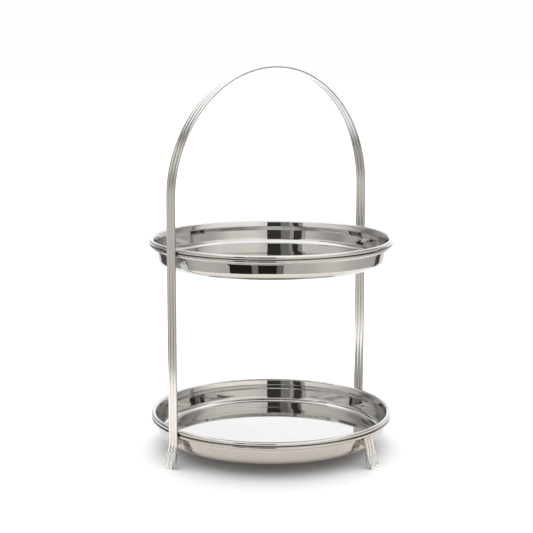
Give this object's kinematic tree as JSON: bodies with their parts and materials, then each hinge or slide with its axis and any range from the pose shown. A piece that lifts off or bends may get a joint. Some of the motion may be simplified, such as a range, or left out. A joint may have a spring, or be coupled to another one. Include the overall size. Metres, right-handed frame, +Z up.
{
  "type": "two-tier serving stand",
  "caption": "Two-tier round serving stand in polished steel, with shallow rimmed trays hung on one ribbed strap that arches over as a handle and ends in clear feet.",
  "frame": {"origin": "on the ground, on the axis of the two trays", "axes": "+Z up along the trays' axis; +X towards the handle strap's right upright, so the arch lies in the XZ plane; the near leg is on the -Y side"},
  "size_m": [0.278, 0.2766, 0.4078],
  "materials": {
    "polished_steel": "mirror-polished stainless steel",
    "satin_steel": "satin ribbed stainless steel strip",
    "clear_cap": "clear soft plastic"
  },
  "bodies": {
    "root": {"upper_tray": "polished_steel", "lower_tray": "polished_steel", "handle_strap": "satin_steel", "front_leg": "satin_steel", "rear_leg": "satin_steel", "foot_cap_left": "clear_cap", "foot_cap_right": "clear_cap", "foot_cap_front": "clear_cap", "foot_cap_rear": "clear_cap", "upper_spacer_left": "satin_steel", "upper_spacer_right": "satin_steel", "lower_spacer_left": "satin_steel", "lower_spacer_right": "satin_steel", "front_leg_wedge": "satin_steel", "rear_leg_wedge": "satin_steel"}
  },
  "joints": []
}
